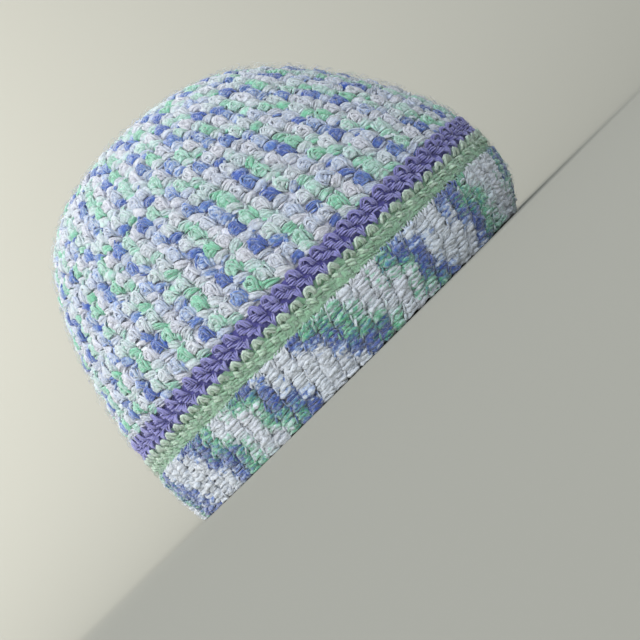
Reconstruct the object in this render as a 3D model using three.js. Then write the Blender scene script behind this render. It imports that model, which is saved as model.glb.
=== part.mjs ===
// A crocheted beanie, in millimetres: a brim of upright ribs, a mint band, a lavender band and a domed crown.
// +X is the front, +Z runs up from the hem to the crown, and the hem lies flat on z = 0.
// All four pieces follow one egg-shaped head form. The face of each is raised into its stitches,
// and the inside is a smooth wall of even thickness.
import * as THREE from "three";

const STITCHES = 84; // stitches in a round of either band, and ribs in the brim
const CROWN_ROUNDS = 14; // rounds of stitches from the lavender band to the crown's centre
const CROWN_FACETS = 66; // facets around the crown
const WALL = 4; // thickness of the crocheted cloth, under the raised stitches
const SEAM = 0.3; // gap between one piece and the next
const EGG = 0.05; // share by which the head form is narrower in front and wider behind

const BRIM_TOP = 25; // height of the top edge of each ring
const MINT_TOP = 34.5;
const LAVENDER_TOP = 43.5;

const RIB_DEPTH = 0.7; // how far a rib stands out, and its groove lies back
const STITCH_DEPTH = 0.7;
const ROUND_DEPTH = 0.8;
const SCALLOP_RISE = 0.8; // half the height of the scallops on the mint band's upper edge
const MINT_RECESS = 0.6; // how far the mint band's plain lower part lies back

// Sections of the head form from the hem up, as distances from the upright axis.
// The crown's centre lies a little behind the axis.
const SECTIONS = [
  { height: 0, front: 86.5, back: -97, side: 76 },
  { height: 14, front: 95.5, back: -98.5, side: 79 },
  { height: 31, front: 98.5, back: -98, side: 80.5 },
  { height: 49, front: 96, back: -96, side: 79.5 },
  { height: 66, front: 89.5, back: -92, side: 75.5 },
  { height: 82, front: 81, back: -87.5, side: 70 },
  { height: 97, front: 71, back: -81.5, side: 63.5 },
  { height: 110.5, front: 60.5, back: -74.5, side: 55.5 },
  { height: 122, front: 48, back: -66, side: 45.5 },
  { height: 130.5, front: 32.5, back: -54, side: 33.5 },
  { height: 136, front: 13.5, back: -36.5, side: 19.5 },
  { height: 138, front: -11, back: -11, side: 0 },
];
const LAST = SECTIONS.length - 1;

// One column of the table at a place between its rows, as a smooth curve. Past the crown's centre the
// curve runs down the other side, so that the crown is round on top.
function blended(place, column, mirrored) {
  const row = Math.min(Math.floor(place), LAST - 1);
  const at = (i) => {
    if (i < 0) return 2 * SECTIONS[0][column] - SECTIONS[1][column];
    if (i > LAST) return SECTIONS[2 * LAST - i][mirrored] * (column === "side" ? -1 : 1);
    return SECTIONS[i][column];
  };
  const [a, b, c, d] = [at(row - 1), at(row), at(row + 1), at(row + 2)];
  const t = place - row;
  return b + 0.5 * t * (c - a + t * (2 * a - 5 * b + 4 * c - d + t * (3 * (b - c) + d - a)));
}

function sectionAt(place) {
  const p = THREE.MathUtils.clamp(place, 0, LAST);
  const front = blended(p, "front", "back");
  const back = blended(p, "back", "front");
  return {
    height: blended(p, "height", "height"),
    middle: (front + back) / 2,
    length: (front - back) / 2,
    side: blended(p, "side", "side"),
  };
}

// The way up the cloth from the hem, as a table of the distance travelled at each place.
const STEPS = 600;
const climb = [];
for (let i = 0, travelled = 0; i <= STEPS; i++) {
  const place = (LAST * i) / STEPS;
  const s = sectionAt(place);
  const reach = (s.length + s.side) / 2;
  const before = climb[i - 1];
  if (before) travelled += Math.hypot(reach - before.reach, s.height - before.height);
  climb.push({ place, travelled, reach, height: s.height });
}
const TOP = climb[STEPS].travelled;

// The place where one column of that table has a value.
function placeWhere(column, value) {
  const i = climb.findIndex((step, n) => n > 0 && step[column] >= value);
  if (i < 0) return LAST;
  const [a, b] = [climb[i - 1], climb[i]];
  return THREE.MathUtils.mapLinear(value, a[column], b[column], a.place, b.place);
}
const travelledAt = (height) => {
  const place = placeWhere("height", height);
  const i = Math.min(Math.floor((place * STEPS) / LAST), STEPS - 1);
  return THREE.MathUtils.mapLinear(
    place, climb[i].place, climb[i + 1].place, climb[i].travelled, climb[i + 1].travelled,
  );
};

function formPoint(place, angle) {
  const s = sectionAt(place);
  return new THREE.Vector3(
    s.middle + s.length * Math.cos(angle),
    s.side * Math.sin(angle) * (1 - EGG * Math.cos(angle)),
    s.height,
  );
}

// A point on the head form, moved outwards by a distance.
function facePoint(travelled, angle, outwards) {
  const place = placeWhere("travelled", travelled);
  const point = formPoint(place, angle);
  if (travelled >= TOP) return point.setZ(point.z + outwards);
  const nudge = 0.02;
  const up = formPoint(place + nudge, angle).sub(formPoint(Math.max(place - nudge, 0), angle));
  const around = formPoint(place, angle + nudge).sub(formPoint(place, angle - nudge));
  return point.addScaledVector(around.cross(up).normalize(), outwards);
}

// Angles that space a number of stitches evenly around the widest section.
function evenAngles(count) {
  const fine = 3600;
  const wide = placeWhere("height", MINT_TOP);
  const run = [0];
  for (let i = 1; i <= fine; i++) {
    const [a, b] = [i - 1, i].map((n) => formPoint(wide, (2 * Math.PI * n) / fine));
    run.push(run[i - 1] + a.distanceTo(b));
  }
  let i = 0;
  return Array.from({ length: count }, (_, n) => {
    const wanted = (run[fine] * n) / count;
    while (run[i + 1] < wanted) i++;
    return (2 * Math.PI * (i + (wanted - run[i]) / (run[i + 1] - run[i]))) / fine;
  });
}

// A closed body from rows of points. Each row goes round once, and a row of one point is a pole.
// The rows run down the inside and up the outside, and a ring also closes from its last row to its first.
function bodyFrom(rows, isRing) {
  const points = rows.flat();
  const starts = rows.map((_, i) => rows.slice(0, i).flat().length);
  const faces = [];
  const strips = isRing ? rows.length : rows.length - 1;
  for (let r = 0; r < strips; r++) {
    const next = (r + 1) % rows.length;
    const [low, high] = [rows[r], rows[next]];
    const count = Math.max(low.length, high.length);
    for (let j = 0; j < count; j++) {
      const k = (j + 1) % count;
      const [a, b] = [starts[r] + (j % low.length), starts[r] + (k % low.length)];
      const [c, d] = [starts[next] + (j % high.length), starts[next] + (k % high.length)];
      if (low.length > 1) faces.push(a, b, c);
      if (high.length > 1) faces.push(b, d, c);
    }
  }
  const geometry = new THREE.BufferGeometry().setFromPoints(points);
  geometry.setIndex(faces);
  geometry.computeVertexNormals();
  return geometry;
}

function piece(name, geometry, colour) {
  const material = new THREE.MeshStandardMaterial({ color: colour, roughness: 0.95, metalness: 0 });
  const mesh = new THREE.Mesh(geometry, material);
  mesh.name = name;
  return mesh;
}

// A ring of stitches, two facets to a stitch. Each level of its outer face gives the share of the way up
// and how far the middle and the edge of a stitch stand out. The edges may be scalloped.
function stitchedRing(name, colour, { bottom, top, levels, bottomWave = 0, topWave = 0 }) {
  const angles = evenAngles(2 * STITCHES);
  const wave = (j) => (j % 2 === 0 ? 1 : -1);
  const level = (share, j) =>
    THREE.MathUtils.lerp(bottom + bottomWave * wave(j), top + topWave * wave(j), share);
  const outer = levels.map(({ share, middle, edge }) =>
    angles.map((angle, j) => facePoint(level(share, j), angle, j % 2 === 0 ? middle : edge)),
  );
  const inner = [1, 0].map((share) => angles.map((angle, j) => facePoint(level(share, j), angle, -WALL)));
  if (bottom === 0) for (const p of [...outer[0], ...inner[1]]) p.z = 0;
  return piece(name, bodyFrom([...outer, ...inner], true), colour);
}

function brim() {
  const rib = { middle: RIB_DEPTH, edge: -RIB_DEPTH };
  return stitchedRing("brim", 0xc3cfdc, {
    bottom: 0,
    top: travelledAt(BRIM_TOP) - SEAM / 2,
    levels: [
      { share: 0, middle: 0, edge: -RIB_DEPTH },
      { share: 0.12, ...rib },
      { share: 0.5, ...rib },
      { share: 0.9, ...rib },
      { share: 1, middle: -0.3, edge: -RIB_DEPTH },
    ],
  });
}

function mintBand() {
  return stitchedRing("mint_band", 0x9bc79a, {
    bottom: travelledAt(BRIM_TOP) + SEAM / 2,
    top: travelledAt(MINT_TOP) - SEAM / 2,
    topWave: SCALLOP_RISE,
    levels: [
      { share: 0, middle: -MINT_RECESS, edge: -MINT_RECESS },
      { share: 0.5, middle: -MINT_RECESS / 2, edge: -MINT_RECESS },
      { share: 0.8, middle: STITCH_DEPTH, edge: -STITCH_DEPTH },
      { share: 1, middle: 0.2, edge: -STITCH_DEPTH },
    ],
  });
}

function lavenderBand() {
  return stitchedRing("lavender_band", 0x8f80bb, {
    bottom: travelledAt(MINT_TOP) + SEAM / 2,
    top: travelledAt(LAVENDER_TOP) - SEAM / 2,
    bottomWave: SCALLOP_RISE,
    levels: [
      { share: 0, middle: -STITCH_DEPTH, edge: -STITCH_DEPTH },
      { share: 0.35, middle: STITCH_DEPTH / 2, edge: -STITCH_DEPTH / 2 },
      { share: 0.7, middle: STITCH_DEPTH, edge: -STITCH_DEPTH },
      { share: 1, middle: 0, edge: -STITCH_DEPTH },
    ],
  });
}

// The crown's outside is one ridge to a round, with a groove between rounds. Its rows end in two poles,
// one inside and one outside, that no strip joins.
function crown() {
  const angles = evenAngles(CROWN_FACETS);
  const start = travelledAt(LAVENDER_TOP) + SEAM / 2;
  const level = (round) => THREE.MathUtils.mapLinear(round, 0, CROWN_ROUNDS, start, TOP);
  const ringAt = (travelled, outwards) => angles.map((angle) => facePoint(travelled, angle, outwards));
  const innerFace = -WALL - ROUND_DEPTH;
  const inside = [[facePoint(TOP, 0, innerFace)]];
  for (let round = CROWN_ROUNDS - 2; round > 0; round -= 2) {
    inside.push(ringAt(level(round), innerFace));
  }
  inside.push(ringAt(level(0), -WALL));
  const outside = [];
  for (let round = 0; round < CROWN_ROUNDS; round++) {
    outside.push(ringAt(level(round), -ROUND_DEPTH));
    outside.push(ringAt(level(round + 0.5), ROUND_DEPTH));
  }
  outside.push([facePoint(TOP, 0, -ROUND_DEPTH)]);
  return piece("crown", bodyFrom([...inside, ...outside], false), 0xd2dce6);
}

const beanie = new THREE.Group();
beanie.name = "beanie";
beanie.add(brim(), mintBand(), lavenderBand(), crown());

export default beanie;
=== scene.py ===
import math
import bpy
import numpy as np
from mathutils import Matrix, Vector


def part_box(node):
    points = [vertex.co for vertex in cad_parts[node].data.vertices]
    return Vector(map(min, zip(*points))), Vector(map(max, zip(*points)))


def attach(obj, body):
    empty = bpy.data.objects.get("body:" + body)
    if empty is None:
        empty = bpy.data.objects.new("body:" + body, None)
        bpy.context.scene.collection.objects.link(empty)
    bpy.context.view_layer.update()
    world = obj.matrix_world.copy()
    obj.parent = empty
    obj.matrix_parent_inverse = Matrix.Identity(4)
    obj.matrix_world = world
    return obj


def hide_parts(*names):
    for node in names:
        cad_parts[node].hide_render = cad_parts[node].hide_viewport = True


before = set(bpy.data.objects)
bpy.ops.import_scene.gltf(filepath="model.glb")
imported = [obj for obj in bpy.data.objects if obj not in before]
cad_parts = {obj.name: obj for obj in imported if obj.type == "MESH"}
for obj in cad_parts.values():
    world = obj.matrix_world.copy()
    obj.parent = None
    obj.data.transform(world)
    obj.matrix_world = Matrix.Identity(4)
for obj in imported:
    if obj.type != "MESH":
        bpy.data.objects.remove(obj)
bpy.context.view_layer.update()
rng = np.random.default_rng(7)
mm = 0.001
fullTurn = 2 * math.pi
tiny = 1e-9

# the form of the head, which the cloth follows

form = {
    "columns": ("height", "front", "back", "side"),
    "sections": np.array([  # in mm from the upright axis
        (0, 86.5, -97, 76),
        (14, 95.5, -98.5, 79),
        (31, 98.5, -98, 80.5),
        (49, 96, -96, 79.5),
        (66, 89.5, -92, 75.5),
        (82, 81, -87.5, 70),
        (97, 71, -81.5, 63.5),
        (110.5, 60.5, -74.5, 55.5),
        (122, 48, -66, 45.5),
        (130.5, 32.5, -54, 33.5),
        (136, 13.5, -36.5, 19.5),
        (138, -11, -11, 0),
    ], float),
    "egg": 0.05,          # how much narrower it is in front than behind
    "evenHeight": 34.5,   # the stitches are spaced evenly round it here
    "stitches": 84,       # in a round of the bands, and ribs in the brim
    "climbSteps": 1200,   # how finely the form is measured up and around
    "turnSteps": 2880,
    "coarse": 8,
}
lastRow = len(form["sections"]) - 1


def unit(vectors):
    return vectors / np.maximum(np.linalg.norm(vectors, axis=-1, keepdims=True), tiny)


# a smooth curve from b to c, with its neighbours a and d
def smoothly(a, b, c, d, t):
    return b + 0.5 * t * (c - a + t * (2 * a - 5 * b + 4 * c - d + t * (3 * (b - c) + d - a)))


# one measure of the form at a place up its sections; past the top it goes on as its mirror does
def formColumn(place, name, mirror, flip=1):
    column, mirror = (form["columns"].index(key) for key in (name, mirror))
    values = form["sections"][:, column]
    padded = np.concatenate([[2 * values[0] - values[1]], values,
                             [flip * form["sections"][-2, mirror]]])
    row = np.minimum(np.floor(place).astype(int), lastRow - 1)
    return smoothly(*(padded[row + k] for k in range(4)), place - row)


def formPoint(place, angle):
    place = np.clip(place, 0, lastRow)
    front = formColumn(place, "front", "back")
    back = formColumn(place, "back", "front")
    side = formColumn(place, "side", "side", -1)
    x = (front + back) / 2 + (front - back) / 2 * np.cos(angle)
    y = side * np.sin(angle) * (1 - form["egg"] * np.cos(angle))
    return np.stack([x, y, formColumn(place, "height", "height")], -1)


climbPlace = np.linspace(0, lastRow, form["climbSteps"] + 1)
climbHeight = formColumn(climbPlace, "height", "height")
climbReach = ((formColumn(climbPlace, "front", "back") - formColumn(climbPlace, "back", "front")) / 2
              + formColumn(climbPlace, "side", "side", -1)) / 2
climbRun = np.concatenate([[0], np.cumsum(np.hypot(np.diff(climbReach), np.diff(climbHeight)))])
topRun = climbRun[-1]

turnAngle = np.linspace(0, fullTurn, form["turnSteps"] + 1)
evenPlace = np.full_like(turnAngle, np.interp(form["evenHeight"], climbHeight, climbPlace))
evenRing = formPoint(evenPlace, turnAngle)
turnRun = np.concatenate([[0], np.cumsum(np.linalg.norm(np.diff(evenRing, axis=0), axis=1))])


def runAt(height):
    return float(np.interp(height, climbHeight, climbRun))


def roundLength(run):
    angle = turnAngle[::form["coarse"]]
    ring = formPoint(np.full_like(angle, np.interp(run, climbRun, climbPlace)), angle)
    return float(np.linalg.norm(np.diff(ring, axis=0), axis=1).sum())


# a point of the cloth: around in turns, run in mm up the cloth, out in mm off the form
def clothPoint(around, run, out):
    angle = np.interp((around % 1) * turnRun[-1], turnRun, turnAngle)
    place = np.interp(run, climbRun, climbPlace)
    nudge = 0.02
    up = formPoint(place + nudge, angle) - formPoint(place - nudge, angle)
    side = formPoint(place, angle + nudge) - formPoint(place, angle - nudge)
    normal = np.cross(side, up)
    length = np.linalg.norm(normal, axis=-1, keepdims=True)
    normal = np.where(length > tiny, unit(normal), [0, 0, 1])
    return formPoint(place, angle) + normal * np.asarray(out)[..., None], normal


# the bands end where the solids do
bandTop = {name: runAt(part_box(name)[1][2] / mm) for name in ("brim", "mint_band", "lavender_band")}
print("cloth runs to", round(topRun, 1), "mm, bands end at",
      {name: round(top, 1) for name, top in bandTop.items()})

# meshes from arrays

tube = {
    "carry": 0.3,         # share of the last ring's direction that a ring keeps
    "apart": 900,         # strands lie this far apart in the grain, in mm
}
bakeStrip = {  # shares of a strand's cell in the bake map
    "left": 0.04,
    "width": 0.84,
    "low": 0.05,
    "height": 0.9,
    "squash": 1.6,        # columns to rows
    "endAt": 0.94,
    "endWide": 0.035,
    "endTall": 0.05,
    "endLevels": (0.25, 0.75),
}
strandForm = {
    "wide": 6.3,          # mm, the size of stitch that the paths are drawn for
    "tall": 9.8,
    "bendOut": 0.4,       # how much a strand bends outward, against along the cloth
    "endThin": 0.5,       # share of its thickness that a strand loses at its ends
    "endRun": 0.05,
    "lumpRange": (0.6, 1.4),
    "topGap": 0.05,       # mm kept free at the crown's centre
    "fine": 24,           # steps to each of a path's points, to measure it by
}
hair = {
    "hemGap": 0.5,        # mm kept free at the hem
    "topGap": 0.3,
    "riseSpread": (0.4, 1.5),
    "arch": 2.2,
    "thin": 0.6,          # share of its thickness that a hair loses
    "lift": 2.2,          # mm off the cloth, as the painted recess shading reads it, so a hair gets none
}


def meshPiece(name, points, faces, pointData, material, faceUv=None):
    mesh = bpy.data.meshes.new(name)
    mesh.vertices.add(len(points))
    mesh.vertices.foreach_set("co", (points * mm).astype(np.float32).ravel())
    sizes = np.concatenate([np.full(len(f), f.shape[1]) for f in faces])
    corners = np.concatenate([f.ravel() for f in faces])
    mesh.loops.add(len(corners))
    mesh.loops.foreach_set("vertex_index", corners.astype(np.int32))
    mesh.polygons.add(len(sizes))
    starts = np.concatenate([[0], np.cumsum(sizes)[:-1]])
    mesh.polygons.foreach_set("loop_start", starts.astype(np.int32))
    mesh.update(calc_edges=True)
    mesh.shade_smooth()
    for key, values in pointData.items():
        if values.ndim == 2:
            made = mesh.attributes.new(key, "FLOAT_VECTOR", "POINT")
            made.data.foreach_set("vector", values.astype(np.float32).ravel())
        else:
            made = mesh.attributes.new(key, "FLOAT", "POINT")
            made.data.foreach_set("value", values.astype(np.float32))
    if faceUv is not None:
        layer = mesh.uv_layers.new(name="OFBake")
        layer.data.foreach_set("uv", faceUv.astype(np.float32).ravel())
    mesh.materials.append(material)
    piece = bpy.data.objects.new(name, mesh)
    bpy.context.scene.collection.objects.link(piece)
    triangles = int(sum(len(f) * (f.shape[1] - 2) for f in faces))
    print(f"{name}: {triangles} triangles")
    return piece


# how much each of a strand's points weighs at even steps along its smooth path
def pathWeights(points, steps, wide, tall):
    count = len(points)
    ghost = np.zeros((count + 2, count))
    ghost[1:-1] = np.eye(count)
    ghost[0, :2] = 2, -1
    ghost[-1, -2:] = -1, 2
    fine = np.linspace(0, count - 1, strandForm["fine"] * count)
    row = np.minimum(fine.astype(int), count - 2)
    weights = smoothly(*(ghost[row + k] for k in range(4)), (fine - row)[:, None])
    real = np.linalg.norm(np.diff(weights @ (np.array(points) * [wide, tall, 1]), axis=0), axis=1)
    run = np.concatenate([[0], np.cumsum(real)])
    even = np.linspace(0, run[-1], steps + 1)
    return np.stack([np.interp(even, run, weights[:, k]) for k in range(count)], -1)


# adds tubes to a skein: centre and normal (strands, rings, 3), radius, dye and out (strands, rings)
def addTubes(skein, centre, normal, radius, dye, out, yarn):
    strands, rings = centre.shape[:2]
    sides = yarn["sides"]
    along = unit(np.gradient(centre, axis=1))
    flat = np.cross(along, normal)
    sideways = np.empty_like(centre)
    carried = flat[:, min(2, rings - 1)]
    for k in range(rings):  # lies along the cloth, and is carried over where the strand dives in
        carried = carried - along[:, k] * np.sum(carried * along[:, k], -1, keepdims=True)
        carried = unit(flat[:, k] + tube["carry"] * carried)
        sideways[:, k] = carried
    outward = np.cross(sideways, along)
    step = np.linalg.norm(np.diff(centre, axis=1), axis=-1)
    run = np.concatenate([np.zeros((strands, 1)), np.cumsum(step, 1)], 1)
    turn = np.arange(sides) * fullTurn / sides
    start = rng.uniform(0, fullTurn, (strands, 1, 1))
    rolled = start + turn + np.zeros((strands, rings, 1))
    reach = radius[..., None] * (1 + rng.normal(0, yarn["uneven"], (strands, rings, sides)))
    lift = reach * np.sin(rolled) * yarn["flatten"]
    points = (centre[:, :, None] + sideways[:, :, None] * (reach * np.cos(rolled))[..., None]
              + outward[:, :, None] * lift[..., None])
    index = skein["count"] + np.arange(strands * rings * sides).reshape(strands, rings, sides)
    beside = np.roll(index, -1, 2)
    skein["quads"].append(np.stack([index[:, :-1], beside[:, :-1], beside[:, 1:], index[:, 1:]], -1)
                          .reshape(-1, 4))
    skein["ends"].append(np.concatenate([index[:, 0, ::-1], index[:, -1]]))
    skein["points"].append(points.reshape(-1, 3))
    skein["count"] += strands * rings * sides
    offset = rng.uniform(0, tube["apart"], (strands, 1, 1))
    shape = rolled.shape
    skein["strand"].append(np.stack([np.broadcast_to(np.cos(turn), shape),
                                     np.broadcast_to(np.sin(turn), shape),
                                     np.broadcast_to(run[..., None] + offset, shape)], -1)
                           .reshape(-1, 3))
    skein["dye"].append(np.broadcast_to(dye[..., None], shape).ravel())
    # how far out and how high round its own strand each point is, for the painted light and shade
    skein["lift"].append((out[..., None] + lift).ravel())
    skein["top"].append(np.sin(rolled).ravel())
    skein["strips"].append((strands, rings, sides))


def newSkein():
    skein = {key: [] for key in ("points", "quads", "ends", "strand", "dye", "lift", "top", "strips")}
    skein["count"] = 0
    return skein


# every strand gets its own strip of the bake map, in rows and columns, with its two ends beside it
def stripMap(strips):
    total = sum(strands for strands, rings, sides in strips)
    columns = max(1, int(math.sqrt(total * bakeStrip["squash"])))
    rows = math.ceil(total / columns)
    wide, tall = bakeStrip["width"], bakeStrip["height"]
    quadUv, endUv, first = [], [], 0
    for strands, rings, sides in strips:
        cell = first + np.arange(strands)
        column = (cell % columns)[:, None, None]
        row = (cell // columns)[:, None, None]
        u = bakeStrip["left"] + wide * np.arange(sides) / sides
        v = bakeStrip["low"] + tall * np.arange(rings - 1) / (rings - 1)
        u0 = (column + u) / columns
        u1 = (column + u + wide / sides) / columns
        v0 = (row + v[:, None]) / rows
        v1 = (row + v[:, None] + tall / (rings - 1)) / rows
        shape = (strands, rings - 1, sides)
        corners = [(u0, v0), (u1, v0), (u1, v1), (u0, v1)]
        quadUv.append(np.stack([np.stack([np.broadcast_to(a, shape), np.broadcast_to(b, shape)], -1)
                                for a, b in corners], 3).reshape(-1, 2))
        ring = np.arange(sides) * fullTurn / sides
        place = np.stack([cell % columns, cell // columns], -1)[:, None]
        for turned, level in zip((-ring, ring), bakeStrip["endLevels"]):
            end = np.stack([bakeStrip["endAt"] + bakeStrip["endWide"] * np.cos(turned),
                            level + bakeStrip["endTall"] * np.sin(turned)], -1)
            endUv.append(((place + end) / [columns, rows]).reshape(-1, 2))
        first += strands
    return np.concatenate(quadUv + endUv)


def skeinPiece(skein, name, material):
    points = np.concatenate(skein["points"])
    points[:, 2] = np.maximum(points[:, 2], 0)
    data = {"strand": np.concatenate(skein["strand"]), "dye": np.concatenate(skein["dye"]),
            "lift": np.concatenate(skein["lift"]), "top": np.concatenate(skein["top"])}
    faces = [np.concatenate(skein["quads"])] + skein["ends"]
    return meshPiece(name, points, faces, data, material, stripMap(skein["strips"]))


# a row of stitches round the cloth; run and tall are where it starts and how high it stands
def stitchRow(count, run, tall, loose):
    around = np.arange(count) / count
    jog = rng.normal(0, 1, (3, count)) * np.array(loose["jog"])[:, None]
    return {"around": around, "run": np.full(count, run), "tall": np.full(count, tall),
            "wide": np.full(count, 1 / count), "jog": jog, "dye": np.zeros(count),
            "tilt": rng.normal(0, loose["tilt"], count), "size": 1 + rng.normal(0, loose["size"], count)}


def joinRows(rows):
    return {key: np.concatenate([row[key] for row in rows], -1) for key in rows[0]}


# lays one strand in every stitch of a row; its path goes across and up in shares of a stitch, out in mm
def layStrand(skein, stitches, strand, yarn, loose, repeat, sink):
    wide, tall = strandForm["wide"], strand.get("tall", strandForm["tall"])
    weights = pathWeights(strand["path"], strand["steps"], wide, tall)
    count = len(stitches["around"])
    bend = rng.normal(0, loose["bend"], (count, len(strand["path"]), 3)) * [1, 1, strandForm["bendOut"]]
    path = weights @ (np.array(strand["path"], float) * [wide, tall, 1] + bend)
    tilt = stitches["tilt"][:, None]
    jog = stitches["jog"][..., None]
    own = rng.normal(0, 1, (3, count, 1)) * loose["strand"]
    x = path[..., 0] + own[0] + jog[0]
    y = path[..., 1] - 0.5 * tall + own[1] + jog[1]
    out = path[..., 2] + jog[2] - sink
    x, y = x * np.cos(tilt) - y * np.sin(tilt), x * np.sin(tilt) + y * np.cos(tilt)
    around = stitches["around"][:, None] + x / wide * stitches["wide"][:, None]
    run = stitches["run"][:, None] + (y / tall + 0.5) * stitches["tall"][:, None]
    run = np.clip(run, 0, topRun - strandForm["topGap"])
    centre, normal = clothPoint(around, run, out)
    end = np.linspace(0, 1, len(weights))
    nearEnd = np.exp(-((np.minimum(end, 1 - end) / strandForm["endRun"]) ** 2))
    taper = 1 - strandForm["endThin"] * nearEnd
    lump = 1 + rng.normal(0, strand.get("lump", loose["lump"]), centre.shape[:2])
    lump = np.clip(lump, *strandForm["lumpRange"])
    radius = strand["thick"] * stitches["size"][:, None] * (1 + own[2]) * taper * lump
    early, late = strand.get("yarn", (0, 0))
    dye = stitches["dye"][:, None] + (early + (late - early) * end) / repeat
    addTubes(skein, centre, normal, radius, dye, out + sink,
             dict(yarn, sides=strand.get("sides", yarn["sides"]), flatten=strand.get("flatten", 1.0)))


# fine fibres that stand off the stitches of a row
def layFuzz(skein, stitches, fuzz, sink):
    count = len(stitches["around"]) * fuzz["each"]
    own = {key: np.repeat(stitches[key], fuzz["each"])
           for key in ("around", "run", "tall", "wide", "dye")}
    around = own["around"] + own["wide"] * rng.uniform(-0.5, 0.5, count)
    run = own["run"] + own["tall"] * rng.uniform(*fuzz["band"], count)
    run = np.clip(run, hair["hemGap"], topRun - hair["topGap"])
    root, normal = clothPoint(around, run, rng.uniform(*fuzz["root"], count) - sink)
    side = unit(np.cross(normal, [0, 0, 1.0]))
    heading = rng.uniform(0, fullTurn, (count, 1))
    flat = side * np.cos(heading) + np.cross(side, normal) * np.sin(heading)
    length = rng.uniform(*fuzz["length"], (count, 1, 1))
    t = np.linspace(0, 1, fuzz["steps"] + 1)[:, None]
    bent = rng.normal(0, fuzz["curl"], (count, 1, 1)) * t
    rise = fuzz["rise"] * rng.uniform(*hair["riseSpread"], (count, 1, 1)) * np.sin(t * hair["arch"])
    centre = root[:, None] + length * (t * np.cos(bent) * flat[:, None] + rise * normal[:, None]
                                       + t * np.sin(bent) * np.cross(normal, flat)[:, None])
    shape = centre.shape[:2]
    addTubes(skein, centre, np.broadcast_to(normal[:, None], centre.shape),
             np.broadcast_to(fuzz["thick"] * (1 - hair["thin"] * t[:, 0]), shape),
             np.broadcast_to(own["dye"][:, None], shape), np.full(shape, hair["lift"]),
             {"sides": 3, "flatten": 1.0, "uneven": 0.0})


# shader helpers


def tint(red, green, blue):
    linear = [(c / 255 / 12.92 if c < 10.3 else ((c / 255 + 0.055) / 1.055) ** 2.4)
              for c in (red, green, blue)]
    return (*linear, 1.0)


def addNode(tree, kind, at, inputs=None, **settings):
    node = tree.nodes.new(kind)
    node.location = at
    for key, value in settings.items():
        setattr(node, key, value)
    for key, value in (inputs or {}).items():
        if isinstance(value, bpy.types.NodeSocket):
            tree.links.new(value, node.inputs[key])
        else:
            node.inputs[key].default_value = value
    return node


def addMath(tree, operation, at, a, b=0.0):
    return addNode(tree, "ShaderNodeMath", at, {0: a, 1: b}, operation=operation).outputs[0]


def addRange(tree, at, value, fromMin, fromMax, toMin, toMax):
    return addNode(tree, "ShaderNodeMapRange", at,
                   {"Value": value, "From Min": fromMin, "From Max": fromMax,
                    "To Min": toMin, "To Max": toMax}).outputs[0]


def fillRamp(ramp, stops):
    elements = ramp.elements
    while len(elements) < len(stops):
        elements.new(0.5)
    for element, (position, colour) in zip(elements, stops):
        element.position = position
        element.color = tint(*colour)


grain = {
    "fibre": {"Scale": 2.4, "Detail": 4.0, "Roughness": 0.7},  # streaks along a strand
    "stretch": (1.4, 1.4, 0.34),
    "fluff": {"Scale": 640.0, "Detail": 3.0, "Roughness": 0.65},  # loose fibres over the cloth
    "stray": 5.0,         # how far the fluff pushes the plies about
    "spread": (0.3, 0.7),  # the noise values that count as least and most
    "fibreTone": (0.93, 1.08),
    "fluffTone": (0.91, 1.06),
    "fluffHeight": 2.6,
    "plyRange": (-1.0, 0.4),  # from between two plies to the top of one, for the bump and the painted shade between plies
    "sideRange": (-0.6, 0.7),  # from the underside of a strand to its top, for its painted shade
    "roughness": (0.86, 1.0),
}
# the looks that paint light and shade: a recess scale and a recess gamma act where the lift is near Deep
# and fade out at High, an underside scale acts under each strand, and Ply Shade darkens the grooves
# between plies and sets their bump; a scale below 1 paints shade, above 1 light
yarnLooks = ("Deep", "High", "Deepening", "Dim", "Side Dim", "Plies", "Twist", "Ply Shade")
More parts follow.
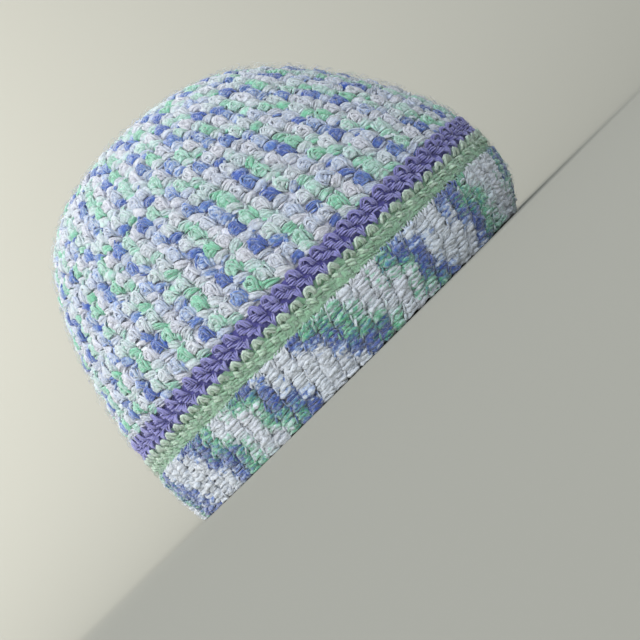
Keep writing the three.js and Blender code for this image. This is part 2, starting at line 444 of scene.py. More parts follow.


# plies and fibres of a strand: colour with painted light and shade, bump height and roughness
def makeYarnGroup():
    tree = bpy.data.node_groups.new("yarnSurface", "ShaderNodeTree")
    face = tree.interface
    face.new_socket("Strand", in_out="INPUT", socket_type="NodeSocketVector")
    face.new_socket("Place", in_out="INPUT", socket_type="NodeSocketVector")
    face.new_socket("Lift", in_out="INPUT", socket_type="NodeSocketFloat")
    face.new_socket("Top", in_out="INPUT", socket_type="NodeSocketFloat")
    face.new_socket("Colour", in_out="INPUT", socket_type="NodeSocketColor")
    for name in yarnLooks:
        face.new_socket(name, in_out="INPUT", socket_type="NodeSocketFloat")
    face.new_socket("Colour", in_out="OUTPUT", socket_type="NodeSocketColor")
    face.new_socket("Height", in_out="OUTPUT", socket_type="NodeSocketFloat")
    face.new_socket("Roughness", in_out="OUTPUT", socket_type="NodeSocketFloat")
    given = addNode(tree, "NodeGroupInput", (-1600, 0)).outputs
    parts = addNode(tree, "ShaderNodeSeparateXYZ", (-1400, 300), {0: given["Strand"]}).outputs
    streak = addNode(tree, "ShaderNodeVectorMath", (-1200, 60),
                     {0: given["Strand"], 1: grain["stretch"]}, operation="MULTIPLY").outputs[0]
    fibre = addNode(tree, "ShaderNodeTexNoise", (-1000, 80),
                    {"Vector": streak, **grain["fibre"]}).outputs[0]
    fluff = addNode(tree, "ShaderNodeTexNoise", (-1000, -320),
                    {"Vector": given["Place"], **grain["fluff"]}).outputs[0]
    angle = addMath(tree, "ARCTAN2", (-1200, 400), parts[1], parts[0])
    phase = addMath(tree, "MULTIPLY", (-1000, 400), angle, given["Plies"])
    spiral = addMath(tree, "MULTIPLY", (-1000, 240), parts[2], given["Twist"])
    stray = addMath(tree, "MULTIPLY", (-820, 240), fluff, grain["stray"])
    phase = addMath(tree, "ADD", (-820, 400), phase, addMath(tree, "ADD", (-660, 240), spiral, stray))
    ply = addMath(tree, "COSINE", (-660, 400), phase)
    ply = addRange(tree, (-480, 400), ply, *grain["plyRange"], 0.0, 1.0)
    # painted shade in the grooves between plies
    plyGrooveShade = addNode(tree, "ShaderNodeMix", (-280, 420),
                      {0: given["Ply Shade"], 2: 1.0, 3: ply}).outputs[0]
    fibreTone = addRange(tree, (-600, 120), fibre, *grain["spread"], *grain["fibreTone"])
    fluffTone = addRange(tree, (-600, -120), fluff, *grain["spread"], *grain["fluffTone"])
    # painted shade on a strand's underside, or painted light where the scale is over 1
    undersideShading = addRange(tree, (-600, 680), given["Top"], *grain["sideRange"], given["Side Dim"], 1.0)
    # painted shade in the recesses, or painted light where the scale is over 1
    recessShading = addRange(tree, (-600, -560), given["Lift"], given["Deep"], given["High"],
                        given["Dim"], 1.0)
    # fibre and fluff tone at random, times the painted light and shade
    tone = addMath(tree, "MULTIPLY", (-100, 420), plyGrooveShade, fibreTone)
    for k, part in enumerate((fluffTone, undersideShading, recessShading)):
        tone = addMath(tree, "MULTIPLY", (60 + 160 * k, 420), tone, part)
    # a gamma that darkens and deepens the colour in the recesses, as painted shade
    recessGammaShading = addRange(tree, (-600, -350), given["Lift"], given["Deep"], given["High"],
                     given["Deepening"], 1.0)
    recessShadedColour = addNode(tree, "ShaderNodeGamma", (-200, -100),
                   {"Color": given["Colour"], "Gamma": recessGammaShading}).outputs[0]
    colour = addNode(tree, "ShaderNodeVectorMath", (560, 100), {0: recessShadedColour, "Scale": tone},
                     operation="SCALE").outputs[0]
    height = addNode(tree, "ShaderNodeMath", (0, -150), {0: ply, 1: given["Ply Shade"], 2: fibre},
                     operation="MULTIPLY_ADD").outputs[0]
    height = addNode(tree, "ShaderNodeMath", (160, -150), {0: fluff, 1: grain["fluffHeight"], 2: height},
                     operation="MULTIPLY_ADD").outputs[0]
    rough = addRange(tree, (160, -350), fibre, *grain["spread"], *grain["roughness"])
    addNode(tree, "NodeGroupOutput", (760, 0),
            {"Colour": colour, "Height": height, "Roughness": rough})
    return tree


dyeing = {
    "speck": {"Scale": 0.6, "Detail": 1.0, "Roughness": 0.5},  # moves the dye along a strand
    "fleck": {"Scale": 820.0, "Detail": 2.0, "Roughness": 0.6},  # pale fibres over it, partly a painted highlight on the fuzz
    "fleckSpread": (0.46, 0.62),
    "fleckCover": (0.1, 1.0),
    "fleckHighlightColour": (226, 234, 244),
}


# where along the dyed yarn a strand is, as a colour, with pale flecks that are partly painted highlight
def makeDyeGroup(name, stops):
    tree = bpy.data.node_groups.new(name, "ShaderNodeTree")
    face = tree.interface
    face.new_socket("Dye", in_out="INPUT", socket_type="NodeSocketFloat")
    face.new_socket("Strand", in_out="INPUT", socket_type="NodeSocketVector")
    face.new_socket("Place", in_out="INPUT", socket_type="NodeSocketVector")
    face.new_socket("Wander", in_out="INPUT", socket_type="NodeSocketFloat")
    face.new_socket("Veil", in_out="INPUT", socket_type="NodeSocketFloat")
    face.new_socket("Colour", in_out="OUTPUT", socket_type="NodeSocketColor")
    given = addNode(tree, "NodeGroupInput", (-900, 0)).outputs
    speck = addNode(tree, "ShaderNodeTexNoise", (-700, -150),
                    {"Vector": given["Strand"], **dyeing["speck"]})
    around = addMath(tree, "SUBTRACT", (-500, -150), speck.outputs[0], 0.5)
    around = addMath(tree, "MULTIPLY", (-350, -150), around, given["Wander"])
    place = addMath(tree, "FRACT", (-50, 0), addMath(tree, "ADD", (-200, 0), given["Dye"], around))
    ramp = addNode(tree, "ShaderNodeValToRGB", (100, 0), {"Fac": place})
    fillRamp(ramp.color_ramp, stops)
    fleck = addNode(tree, "ShaderNodeTexNoise", (-150, -350),
                    {"Vector": given["Place"], **dyeing["fleck"]})
    fleck = addRange(tree, (50, -350), fleck.outputs[0], *dyeing["fleckSpread"], *dyeing["fleckCover"])
    # pale flecks over the dye, partly real fibres and partly painted highlight on the fuzz
    fleckHighlight = addMath(tree, "MULTIPLY", (230, -200), fleck, given["Veil"])
    fleckedColour = addNode(tree, "ShaderNodeMix", (400, 0),  # 6, 7 and 2 are the colour sockets
                   {0: fleckHighlight, 6: ramp.outputs[0], 7: tint(*dyeing["fleckHighlightColour"])}, data_type="RGBA")
    addNode(tree, "NodeGroupOutput", (600, 0), {"Colour": fleckedColour.outputs[2]})
    return tree


dyedYarn = [  # one repeat of the variegated yarn
    (0.00, (222, 238, 243)), (0.14, (236, 233, 245)), (0.28, (226, 231, 247)), (0.37, (200, 214, 246)),
    (0.40, (106, 144, 218)), (0.44, (58, 94, 188)), (0.50, (62, 102, 194)), (0.54, (106, 146, 218)),
    (0.57, (198, 213, 245)), (0.65, (231, 235, 248)), (0.72, (218, 240, 235)), (0.77, (178, 234, 208)),
    (0.82, (130, 214, 170)), (0.87, (146, 222, 184)), (0.92, (192, 238, 220)), (1.00, (222, 238, 243)),
]
pooledYarn = [  # two repeats, as the colours pool on the brim
    (0.00, (226, 233, 242)), (0.17, (230, 232, 243)), (0.20, (186, 228, 210)), (0.24, (92, 182, 134)),
    (0.28, (68, 136, 154)), (0.32, (42, 78, 164)), (0.38, (38, 70, 160)), (0.42, (80, 120, 200)),
    (0.45, (194, 210, 238)), (0.49, (226, 233, 242)), (0.68, (229, 233, 243)), (0.72, (130, 160, 214)),
    (0.75, (42, 76, 162)), (0.81, (38, 72, 160)), (0.85, (62, 132, 150)), (0.89, (88, 180, 128)),
    (0.92, (140, 210, 174)), (0.95, (212, 232, 234)), (1.00, (226, 233, 242)),
]
yarnGroup = makeYarnGroup()
dyeGroups = {"even": makeDyeGroup("yarnDye", dyedYarn),
             "pooled": makeDyeGroup("pooledDye", pooledYarn)}
yarnFinish = {"bumpDistance": 0.0007, "sheenRoughness": 0.55, "specular": 0.12}


def yarnMaterial(name, look):
    material = bpy.data.materials.new(name)
    material.use_nodes = True
    tree = material.node_tree
    tree.nodes.clear()
    strand = addNode(tree, "ShaderNodeAttribute", (-900, 200), attribute_name="strand").outputs["Vector"]
    dye = addNode(tree, "ShaderNodeAttribute", (-900, 0), attribute_name="dye").outputs["Fac"]
    # the heights that the painted recess and underside shade are read from
    lift = addNode(tree, "ShaderNodeAttribute", (-900, -200), attribute_name="lift").outputs["Fac"]
    top = addNode(tree, "ShaderNodeAttribute", (-900, -400), attribute_name="top").outputs["Fac"]
    place = addNode(tree, "ShaderNodeTexCoord", (-900, -600)).outputs["Object"]
    if look.get("ramp"):
        ramp = addNode(tree, "ShaderNodeValToRGB", (-700, 0), {"Fac": dye})
        fillRamp(ramp.color_ramp, look["ramp"])
        colour = ramp.outputs[0]
    else:
        colour = addNode(tree, "ShaderNodeGroup", (-700, 0),
                         {"Dye": dye, "Strand": strand, "Place": place, "Wander": look["wander"],
                          "Veil": look["fleckHighlight"]}, node_tree=dyeGroups[look["dye"]]).outputs[0]
    yarn = addNode(tree, "ShaderNodeGroup", (-350, 0),
                   {"Strand": strand, "Place": place, "Lift": lift, "Top": top, "Colour": colour,
                    **{key: look[key] for key in yarnLooks}}, node_tree=yarnGroup)
    bump = addNode(tree, "ShaderNodeBump", (-100, -250),
                   {"Height": yarn.outputs["Height"], "Strength": look["bump"],
                    "Distance": yarnFinish["bumpDistance"]})
    shader = addNode(tree, "ShaderNodeBsdfPrincipled", (150, 0),
                     {"Base Color": yarn.outputs["Colour"], "Roughness": yarn.outputs["Roughness"],
                      "Normal": bump.outputs[0]})
    shader.inputs["Subsurface Weight"].default_value = look["glow"]
    shader.inputs["Subsurface Radius"].default_value = (1.0, 1.0, 1.0)
    shader.inputs["Subsurface Scale"].default_value = look["glowDepth"]
    shader.inputs["Sheen Weight"].default_value = look["sheen"]
    shader.inputs["Sheen Roughness"].default_value = yarnFinish["sheenRoughness"]
    shader.inputs["Specular IOR Level"].default_value = yarnFinish["specular"]
    addNode(tree, "ShaderNodeOutputMaterial", (450, 0), {"Surface": shader.outputs[0]})
    return material


print("yarn and dye are mixed")

# the crown: rounds of knobbly stitches, each with a small eye

crown = {
    "rounds": 14,
    "pitch": 5.15,        # the rounds lose stitches where these would get closer than this, in mm
    "fewest": 7,          # stitches in the last round
    "countAt": 0.6,       # a round's stitches are counted at this share of its height
    "repeat": 3.1,        # stitches to one repeat of the dye
    "dyeSway": (0.05, 0.23),  # the repeat swings by this much, at this rate per stitch
    "dyeScatter": 0.045,
    "sink": 2.3,          # mm that the strands' paths lie under the form
    "yarn": {"sides": 3, "uneven": 0.12},
    "loose": {"jog": (0.35, 0.35, 0.2), "size": 0.07, "tilt": 0.24, "strand": 0.16, "bend": 0.25,
              "lump": 0.12},
    "fuzz": {"each": 8, "band": (0.1, 1.0), "root": (1.8, 3.3), "length": (1.5, 4.2), "thick": 0.065,
             "steps": 2, "curl": 0.9, "rise": 0.34},
    # its look paints light into the recesses and onto the strands' undersides, deepens the recess colour
    # with a gamma, paints faint shade between plies and lays pale flecks that are partly painted
    # highlight
    "look": {"dye": "even", "wander": 0.15, "fleckHighlight": 0.12, "Deep": -0.4, "High": 2.2, "Deepening": 1.1,
             "Dim": 1.15, "Side Dim": 1.05, "Plies": 1, "Twist": 3.0, "Ply Shade": 0.1, "bump": 0.62,
             "sheen": 0.9, "glow": 0.45, "glowDepth": 0.0012},
    "pieces": {"crown_rounds_low": (0, 3), "crown_rounds_middle": (3, 6), "crown_rounds_high": (6, 9),
               "crown_rounds_top": (9, 14)},
}
overEye = [  # nested over the eye and down on the right
    [(-.31, .74, .2), (-.20, .91, 1.4), (.04, .99, 1.6), (.27, .91, 1.8), (.38, .71, 1.7),
     (.36, .50, 1.3), (.43, .35, .2)],
    [(-.22, .76, .8), (-.12, .86, 1.7), (.05, .90, 1.9), (.20, .83, 2.1), (.28, .67, 2.0),
     (.27, .50, 1.5), (.33, .37, .4)],
    [(-.13, .77, .9), (-.06, .81, 1.6), (.05, .82, 1.8), (.13, .77, 2.0), (.19, .64, 1.9),
     (.19, .50, 1.3)],
]
leftPetal = [
    [(-.34, .50, .0), (-.44, .66, 1.0), (-.37, .82, 1.3), (-.22, .93, .8)],
    [(-.26, .52, .6), (-.34, .66, 1.6), (-.28, .79, 1.7), (-.14, .87, 1.2)],
    [(-.18, .56, .8), (-.24, .67, 1.6), (-.19, .76, 1.7), (-.11, .80, 1.2)],
]
crown["strands"] = (
    # the body of the yarn, under its plies
    [{"path": [(-.36, .68, .1), (-.02, .73, .5), (.32, .66, .2)], "thick": 2.2, "steps": 3, "sides": 6,
      "flatten": 0.68, "lump": 0.04, "yarn": (0.02, 0.08)},
     {"path": [(-.52, .32, -.1), (-.1, .26, .4), (.52, .12, -.1)], "thick": 1.75, "steps": 3, "sides": 5,
      "flatten": 0.85, "lump": 0.04, "yarn": (-0.46, -0.40)},
     {"path": [(.50, .34, -.3), (.50, .66, .2), (.50, 1.02, -.3)], "thick": 1.35, "steps": 3, "sides": 4,
      "lump": 0.04, "yarn": (0.1, 0.2)}]
    + [{"path": path, "thick": .60, "steps": 7, "sides": 4, "yarn": (0.04, 0.12)} for path in overEye]
    + [{"path": path, "thick": .70, "steps": 4, "yarn": (0.0, 0.06)} for path in leftPetal]
    + [{"path": [(.24, y + .02, .2), (.06, y - .02, 1.6), (-.16, y - .01, 1.8), (-.39, y + .03, .3)],
        "thick": .60, "steps": 4, "sides": 4, "yarn": (0.06, 0.12)} for y in (.65, .575, .50)]
    + [{"path": [(-.12, .70, .7), (.0, .71, 1.2), (.12, .70, .8)], "thick": .5, "steps": 2,
        "yarn": (0.0, 0.05)}]
    + [{"path": [(-.50, y, -.1), (-.22, y - .01, 1.3), (.14, .05 + .7 * y, 1.3),
                 (.54, .06 + .2 * y, -.2)],
        "thick": .70, "steps": 5, "yarn": (-0.46, -0.40)} for y in (.40, .31, .22)]
    + [{"path": [(-.52, .12, -.3), (-.20, .09, .8), (.30, .03, -.1)], "thick": .8, "steps": 3,
        "yarn": (-0.8, -0.7)}]
    + [{"path": [(.12, y - .12, .9), (.30, y - .06, 1.8), (.46, y + .01, 1.7), (.60, y + .07, .2)],
        "thick": .5, "steps": 3, "yarn": (-0.2, -0.1)} for y in (1.02, .94)])
crownYarn = yarnMaterial("variegatedCrown", crown["look"])
crownStart = bandTop["lavender_band"]
roundHeight = (topRun - crownStart) / crown["rounds"]
sway, swayRate = crown["dyeSway"]
stitchesSoFar = 0
for name, (firstRound, endRound) in crown["pieces"].items():
    rows = []
    for k in range(firstRound, endRound):
        run = crownStart + k * roundHeight
        room = int(roundLength(run + crown["countAt"] * roundHeight) / crown["pitch"])
        count = max(crown["fewest"], min(form["stitches"], room))
        row = stitchRow(count, run, roundHeight, crown["loose"])
        number = stitchesSoFar + np.arange(count)
        row["dye"] = (number / crown["repeat"] + sway * np.sin(number * swayRate)
                      + rng.normal(0, crown["dyeScatter"], count))
        stitchesSoFar += count
        rows.append(row)
    stitches = joinRows(rows)
    skein = newSkein()
    for strand in crown["strands"]:
        layStrand(skein, stitches, strand, crown["yarn"], crown["loose"], crown["repeat"], crown["sink"])
    layFuzz(skein, stitches, crown["fuzz"], crown["sink"])
    piece = skeinPiece(skein, name, crownYarn)
    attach(piece, "root")
    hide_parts("crown")
print("crown has", stitchesSoFar, "stitches")

# the lavender band: a fan of plies over a small eye, linked below, with legs between

lavender = {
    "node": "lavender_band",
    "slot": "lavender_yarn",
    "from": bandTop["mint_band"],
    "to": bandTop["lavender_band"],
    "tone": 0.5,          # 0 is the darkest colour of the ramp, 1 the palest
    "sink": 2.0,
    "over": 1.0,          # mm that the stitches stand over the round above
    "yarn": {"sides": 4, "uneven": 0.09},
    "loose": {"jog": (0.25, 0.2, 0.15), "size": 0.07, "tilt": 0.1, "strand": 0.08, "bend": 0.16,
              "lump": 0.06},
    "fuzz": {"each": 6, "band": (0.0, 1.0), "root": (1.2, 2.4), "length": (1.0, 3.2), "thick": 0.05,
             "steps": 2, "curl": 0.9, "rise": 0.35},
    # its look paints shade into the recesses, with a deeper colour there, onto the strands' undersides
    # and between plies
    "look": {"Deep": -0.8, "High": 1.9, "Deepening": 1.25, "Dim": 0.95, "Side Dim": 0.78, "Plies": 2,
             "Twist": 1.5, "Ply Shade": 0.15, "bump": 0.6, "sheen": 0.5, "glow": 0.35,
             "glowDepth": 0.001,
             "ramp": [(0.0, (126, 121, 196)), (0.5, (154, 150, 218)), (1.0, (186, 182, 238))]},
}
fanPlies = []
for k in range(4):  # nested over the eye, from upper left to lower right
    s = 1 - 0.22 * k
    fanPlies.append({"path": [(-.40 * s - .02, .68 + .01 * k, -.4), (-.27 * s, .82 + .09 * s, 1.1),
                              (.02, .83 + .15 * s, 1.5 + .12 * k),
                              (.27 * s + .03, .78 + .03 * s, 1.8 + .1 * k),
                              (.37 * s + .05, .60, 1.5 + .1 * k), (.40 * s + .06, .43 + .03 * k, .3)],
                     "thick": .40, "steps": 12})
sideDashes = [{"path": [(-.47, y + .03, -.2), (-.31, y + .01, 1.3), (-.10, y - .01, 1.7),
                        (.08, y - .03, .4)],
               "thick": .40, "steps": 5} for y in (.69, .59, .49)]
linkDashes = [{"path": [(x - .34, y + .03, -.2), (x - .16, y + .01, 1.2), (x + .12, y, 1.3),
                        (x + .36, y + .01, -.1)],
               "thick": .42, "steps": 6} for x, y in ((.06, .39), (.13, .30), (.20, .21))]
legs = [{"path": [(.5 + dx, .26, .2), (.5 + dx * .8, .12, 1.3), (.5 + dx * .35, -.04, 1.3),
                  (.5 + dx * .1, -.22, -.3)],
         "thick": .42, "steps": 5} for dx in (-.24, -.09, .10, .25)]
lavender["strands"] = fanPlies + sideDashes + linkDashes + legs

# the mint band: pale scallops over a darker, fuzzy lower half

mint = {
    "node": "mint_band",
    "slot": "mint_yarn",
    "from": bandTop["brim"],
    "to": bandTop["mint_band"],
    "tone": 0.0,
    "sink": 2.7,
    "over": 0.0,
    "yarn": {"sides": 4, "uneven": 0.1},
    "loose": {"jog": (0.25, 0.2, 0.15), "size": 0.08, "tilt": 0.08, "strand": 0.08, "bend": 0.24,
              "lump": 0.15},
    "fuzz": {"each": 16, "band": (0.0, 0.95), "root": (1.6, 3.0), "length": (1.2, 4.0), "thick": 0.055,
             "steps": 2, "curl": 0.8, "rise": 0.3},
    # its look paints a little light onto the strands' undersides and faint shade between plies
    "look": {"Deep": -0.8, "High": 2.4, "Deepening": 1.0, "Dim": 1.0, "Side Dim": 1.05, "Plies": 3,
             "Twist": 1.0, "Ply Shade": 0.12, "bump": 0.8, "sheen": 0.7, "glow": 0.45,
             "glowDepth": 0.0012,
             "ramp": [(0.0, (161, 208, 170)), (0.3, (172, 217, 179)), (0.6, (194, 229, 195)),
                      (1.0, (216, 239, 214))]},
}
scallopPlies = [{"path": [(-.27 * s - .02, .70, .5), (-.24 * s - .01, .81, 2.0),
                          (-.05, .87 + .11 * s, 2.5),
                          (.16 * s + .02, .84 + .05 * s, 2.4), (.24 * s + .04, .74, 2.0),
                          (.23 * s + .06, .63, .4)],
                 "thick": .62, "steps": 8, "yarn": (0.9 - .05 * k, 0.95)}
                for k, s in enumerate((1.0, .66, .30))]
belowBlob = [{"path": [(-.40, .62 - d, .2), (-.24, .57 - d, 2.0), (-.06, .50 - d, 2.0),
                       (.10, .42 - d, .4)],
              "thick": .66, "steps": 5, "yarn": (0.75, 0.65)} for d in (0, .10)]
fieldStrands = [{"path": [(x - .45, y + .05, .3), (x - .15, y + .015, .8), (x + .15, y - .015, .8),
                          (x + .45, y - .05, .3)],
                 "thick": 1.0, "steps": 4, "sides": 3, "yarn": (0.05 + .4 * y, 0.3)}
                for x, y in ((.30, .57), (-.1, .50), (.28, .43), (-.16, .36), (.18, .29), (-.1, .22),
                             (.3, .15), (-.05, .08), (.25, .01))]
fieldStrands.append({"path": [(-.6, .3, .0), (.0, .28, .1), (.6, .26, .0)], "thick": 2.7, "steps": 3,
                     "sides": 6, "flatten": 0.55, "lump": 0.03, "yarn": (0.1, 0.2)})
mint["strands"] = scallopPlies + belowBlob + fieldStrands

toneSpread = 0.1  # from stitch to stitch
hairTone = 0.3    # how much paler the hairs are than the strands
for name, band in (("lavender_stitches", lavender), ("mint_stitches", mint)):
    stitches = stitchRow(form["stitches"], band["from"], band["to"] - band["from"] + band["over"],
                         band["loose"])
    skein = newSkein()
    for strand in band["strands"]:
        toned = dict(stitches, dye=band["tone"] + rng.normal(0, toneSpread, form["stitches"]))
        layStrand(skein, toned, strand, band["yarn"], band["loose"], 1.0, band["sink"])
    stitches["dye"] += band["tone"] + hairTone
    layFuzz(skein, stitches, band["fuzz"], band["sink"])
    piece = skeinPiece(skein, name, yarnMaterial(name.replace("_stitches", "Yarn"), band["look"]))
    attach(piece, "root")
    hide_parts(band["node"])

# the brim: upright ribs of stacked bumps, leaning strands between them, a loop on each

brim = {
    "bumps": 13,          # up each rib, of two plies each
    "bumpAt": 0.6,
    "bumpPly": 0.82,
    "bumpFill": 0.97,     # share of the brim's height that they fill
    "leans": (-0.004, 0.012),
    "leaves": 4,          # leaning strands between two ribs
    "leafAt": 0.25,
    "leafFill": 0.95,
    "repeat": 11.6,       # ribs to the two repeats of the dye
    "slant": 0.25,        # how far the dye leans over the height of the brim
    "pools": [  # waves in the dye: size, rate per rib, rate up the brim, start
        (0.04, 0.41, 0, 1.3),
        (0.035, 0.17, 3, 0),
        (0.03, 1.7, 6.5, 0),
        (0.03, 0.9, -8.5, 2),
    ],
    "dyeScatter": 0.018,
    "sink": 1.9,
    "yarn": {"sides": 3, "uneven": 0.14},
    "loose": {"jog": (0.3, 0.12, 0.2), "size": 0.1, "tilt": 0.0, "strand": 0.14, "bend": 0.3,
              "lump": 0.18},
    "fuzz": {"each": 20, "band": (0.02, 1.0), "root": (1.2, 2.7), "length": (1.0, 3.6), "thick": 0.07,
             "steps": 2, "curl": 0.9, "rise": 0.3},
    # its look paints light into the recesses and onto the strands' undersides, deepens the recess colour
    # with a gamma, paints faint shade between plies and lays pale flecks that are partly painted
    # highlight
    "look": {"dye": "pooled", "wander": 0.2, "fleckHighlight": 0.18, "Deep": -0.4, "High": 1.9,
             "Deepening": 1.1, "Dim": 1.12, "Side Dim": 1.08, "Plies": 1, "Twist": 3.0,
             "Ply Shade": 0.1, "bump": 0.62, "sheen": 0.9, "glow": 0.45, "glowDepth": 0.0012},
}
brimTall = bandTop["brim"]
brimStrands = []
for k in range(brim["bumps"]):
    for ply in (-.34, .34):
        y = (k + brim["bumpAt"] + ply * brim["bumpPly"]) / brim["bumps"] * brim["bumpFill"]
        lean = brim["leans"][k % 2]
        brimStrands.append({"path": [(-.08, y - lean, .3), (.16, y, 1.0), (.42, y + .004, 1.3),
                                     (.68, y, 1.15), (.92, y + lean, .5)],
                            "thick": .92, "steps": 5, "sides": 4, "yarn": (0, .3), "level": y})
for k in range(brim["leaves"]):
    y = (k + brim["leafAt"]) / brim["leaves"] * brim["leafFill"]
    for ply in (-.045, .045):
        brimStrands.append({"path": [(.80 + ply, y - .02, .1), (.87 + ply, y + .04, 1.45),
                                     (.95 + ply, y + .10, 1.4), (1.0, y + .15, .1)],
                            "thick": .6, "steps": 3, "yarn": (1.2, 1.4), "level": y, "stray": 1.2})
for x, lean in ((.10, .10), (.28, .08), (.46, .16), (.62, .12), (.80, .08), (.95, .12)):
    brimStrands.append({"path": [(x - .14, .89, .2), (x - .05, .95, 1.6), (x + lean * .4, 1.0, 1.4),
                                 (x + lean, 1.03, .2)], "thick": .58, "steps": 3, "yarn": (0, .2),
                        "level": 1.0})
for y in (.022, .05):
    brimStrands.append({"path": [(-.16, y + .01, .0), (.15, y, 1.0), (.45, y, 1.0), (.76, y + .01, 0)],
                        "thick": .6, "steps": 4, "yarn": (0, .4), "level": 0.0})
brimStrands.append({"path": [(.42, .02, -.4), (.42, .35, -.3), (.42, .7, -.3), (.42, 1.0, -.4)],
                    "thick": 2.7, "steps": 8, "sides": 6, "flatten": 0.58, "lump": 0.03,
                    "yarn": (0, 2.9), "level": 0.0})
brimSkein = newSkein()
rib = np.arange(form["stitches"])
for strand in brimStrands:
    strand["tall"] = brimTall
    stitches = stitchRow(form["stitches"], 0, brimTall, brim["loose"])
    stitches["jog"][1] += rng.normal(0, strand.get("stray", 0), form["stitches"])
    level = strand["level"]
    pool = sum(size * np.sin(rib * perRib + upward * level + start)
               for size, perRib, upward, start in brim["pools"])
    stitches["dye"] = (rib / brim["repeat"] + brim["slant"] * level + pool
                       + rng.normal(0, brim["dyeScatter"], form["stitches"]))
    layStrand(brimSkein, stitches, strand, brim["yarn"], brim["loose"], brim["repeat"], brim["sink"])
stitches = stitchRow(form["stitches"], 0, brimTall, brim["loose"])
stitches["dye"] = rib / brim["repeat"] + brim["slant"] * 0.5
layFuzz(brimSkein, stitches, brim["fuzz"], brim["sink"])
piece = skeinPiece(brimSkein, "brim_ribs", yarnMaterial("variegatedBrim", brim["look"]))
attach(piece, "root")
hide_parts("brim")

# the lining: the closed back of the cloth, behind the strands

lining = {
    "outside": 2.9,       # mm under the form
    "inside": 4.3,
    "columns": 126,
    "step": 3.0,
    "topGap": 0.6,
    "ripple": 0.22,
    "plies": 21,          # turns of the grain round the hat
    "grainRun": 2.3,
    "dyeRise": 0.03,      # how the dye moves on with each mm up
    "backDye": 0.12,
    "frontTone": 0.4,
    "lifts": (0.2, 2.0),  # of the side behind the strands and of the inside, as the painted recess shading reads them
}


def liningPiece(name, start, end, material, repeat):
    rows = max(3, round((end - start) / lining["step"]))
    runs = np.linspace(start, min(end, topRun - lining["topGap"]), rows + 1)
    around = np.arange(lining["columns"]) / lining["columns"]
    outer = [clothPoint(around, np.full_like(around, run), np.full_like(around, -lining["outside"]))[0]
             for run in runs]
    inner = []
    for k, run in enumerate(runs[::-1]):
        wave = lining["ripple"] * np.cos(fullTurn * (around * form["stitches"] + 0.5 * k))
        inner.append(clothPoint(around, np.full_like(around, run), wave - lining["inside"])[0])
    points = np.concatenate(outer + inner)
    points[:, 2] = np.maximum(points[:, 2], 0)
    index = np.arange(len(points)).reshape(-1, lining["columns"])
    following = np.roll(index, -1, 0)
    quads = np.stack([index, np.roll(index, -1, 1), np.roll(following, -1, 1), following], -1)
    run = np.repeat(np.concatenate([runs, runs[::-1]]), lining["columns"])
    turn = np.tile(around, len(index))
    behind = np.arange(len(points)) < len(points) / 2
    if repeat:
        knit = turn * form["stitches"] / repeat + run * lining["dyeRise"]
        dye = np.where(behind, lining["backDye"], knit)
    else:
        # the side behind the strands takes the ramp's darkest colour, as painted shade in the gaps
        dye = np.where(behind, 0.0, lining["frontTone"])
    grainTurn = turn * fullTurn * lining["plies"]
    data = {"strand": np.stack([np.cos(grainTurn), np.sin(grainTurn), run * lining["grainRun"]], -1),
            "dye": dye, "lift": np.where(behind, *lining["lifts"]), "top": np.ones(len(points))}
    return meshPiece(name, points, [quads.reshape(-1, 4)], data, material)


for name, node, slot, material, start, end, repeat in (  # a repeat only where the yarn is variegated
        ("brim_back", "brim", "variegated_yarn", "variegatedBrim", 0, bandTop["brim"],
         brim["repeat"]),
        ("mint_back", "mint_band", "mint_yarn", "mintYarn", mint["from"], mint["to"], None),
        ("lavender_back", "lavender_band", "lavender_yarn", "lavenderYarn", lavender["from"],
         lavender["to"], None),
        ("crown_back", "crown", "variegated_yarn", "variegatedCrown", crownStart, topRun,
         crown["repeat"])):
    piece = liningPiece(name, start, end, bpy.data.materials[material], repeat)
    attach(piece, "root")
    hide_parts(node)
print("the cloth has its back")

# floor, backdrop, light and camera

studio = {
    "bendAt": 0.3,        # m behind the middle of the hat where the card starts to rise
    "bend": 1.1,
    "half": 2.6,          # half the width of the card
    "floorReach": 9.0,    # how far the floor runs to the sides and to the front
    "height": 3.0,
    "steps": 32,
    "colour": (150, 148, 139),
    "mottle": 2,          # how far the colour wanders
    "speck": {"Scale": 3.0, "Detail": 3.0},
    "roughness": 0.9,
    "specular": 0.1,
}


def sweptBackdrop():
    reach, half = studio["floorReach"], studio["half"]
    profile = [(-reach, 0.0, reach), (-0.6, 0.0, reach), (0.0, 0.0, reach)]
    for k in range(studio["steps"] + 1):
        rise = k / studio["steps"] * math.pi / 2
        profile.append((studio["bendAt"] + studio["bend"] * math.sin(rise),
                        studio["bend"] * (1 - math.cos(rise)), half))
    profile.append((studio["bendAt"] + studio["bend"], studio["height"], half))
    points = [(side * wide, y, z) for y, z, wide in profile for side in (-1, 1)]
    faces = [(2 * k, 2 * k + 1, 2 * k + 3, 2 * k + 2) for k in range(len(profile) - 1)]
    mesh = bpy.data.meshes.new("backdrop")
    mesh.from_pydata(points, [], faces)
    mesh.shade_smooth()
    material = bpy.data.materials.new("paintedCard")
    material.use_nodes = True
    tree = material.node_tree
    shader = tree.nodes["Principled BSDF"]
    speck = addNode(tree, "ShaderNodeTexNoise", (-600, 0), studio["speck"])
    ramp = addNode(tree, "ShaderNodeValToRGB", (-350, 0), {"Fac": speck.outputs[0]})
    darker, paler = ([c + by for c in studio["colour"]] for by in (-studio["mottle"], studio["mottle"]))
    fillRamp(ramp.color_ramp, [(0.3, darker), (0.7, paler)])
    tree.links.new(ramp.outputs[0], shader.inputs["Base Color"])
    shader.inputs["Roughness"].default_value = studio["roughness"]
    shader.inputs["Specular IOR Level"].default_value = studio["specular"]
    mesh.materials.append(material)
    backdrop = bpy.data.objects.new("backdrop", mesh)
    bpy.context.scene.collection.objects.link(backdrop)


sweptBackdrop()

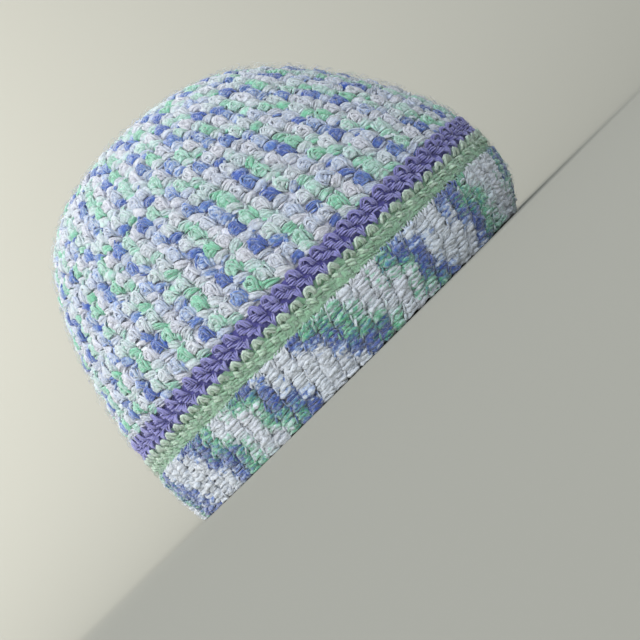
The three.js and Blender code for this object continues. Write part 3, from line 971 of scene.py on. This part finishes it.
lights = {  # place and aim in m, width in m, watts, colour
    "window": {"at": (-0.6, -0.85, 1.15), "aim": (0, 0, 0.07), "size": 1.3, "power": 12.6,
               "colour": (1.0, 0.98, 0.95)},
    "bounce": {"at": (0.05, -1.2, 0.45), "aim": (0, 0, 0.07), "size": 0.9, "power": 5,
               "colour": (0.97, 0.99, 1.0)},
    "wall_wash": {"at": (-0.9, 0.3, 1.2), "aim": (-0.5, 1.4, 0.6), "size": 0.7, "power": 27,
                  "colour": (1.0, 0.99, 0.96)},
}
for name, lamp in lights.items():
    data = bpy.data.lights.new(name, "AREA")
    data.size = lamp["size"]
    data.energy = lamp["power"]
    data.color = lamp["colour"]
    light = bpy.data.objects.new(name, data)
    light.location = lamp["at"]
    light.rotation_euler = (Vector(lamp["aim"]) - Vector(lamp["at"])).to_track_quat("-Z", "Y").to_euler()
    bpy.context.scene.collection.objects.link(light)

roomLight = {"colour": (209, 221, 232), "strength": 0.95}
world = bpy.data.worlds.new("room")
world.use_nodes = True
sky = world.node_tree.nodes["Background"].inputs
sky["Color"].default_value = tint(*roomLight["colour"])
sky["Strength"].default_value = roomLight["strength"]
bpy.context.scene.world = world
bpy.context.scene.view_settings.view_transform = "Standard"

view = {  # angles in degrees, lengths in m, the lens in mm
    "azimuth": 12.94,
    "elevation": -1.8,    # looks up a little, from just over the floor
    "roll": 44.81,
    "distance": 0.634,
    "aim": (-0.00328, 0.0, 0.02569),
    "lens": 85.06,
    "sensor": 36,
    "nearest": 0.01,
}


def placeCamera():
    turn, rise, roll = (math.radians(view[key]) for key in ("azimuth", "elevation", "roll"))
    back = Vector((math.sin(turn) * math.cos(rise), -math.cos(turn) * math.cos(rise), math.sin(rise)))
    right = Vector((math.cos(turn), math.sin(turn), 0))
    up = back.cross(right)
    side = right * math.cos(roll) - up * math.sin(roll)
    top = right * math.sin(roll) + up * math.cos(roll)
    data = bpy.data.cameras.new("camera")
    data.lens = view["lens"]
    data.sensor_width = view["sensor"]
    data.clip_start = view["nearest"]
    camera = bpy.data.objects.new("camera", data)
    place = Vector(view["aim"]) + back * view["distance"]
    camera.matrix_world = Matrix((
        (side.x, top.x, back.x, place.x),
        (side.y, top.y, back.y, place.y),
        (side.z, top.z, back.z, place.z),
        (0, 0, 0, 1)))
    bpy.context.scene.collection.objects.link(camera)
    bpy.context.scene.camera = camera


placeCamera()
print("camera and lights are set")
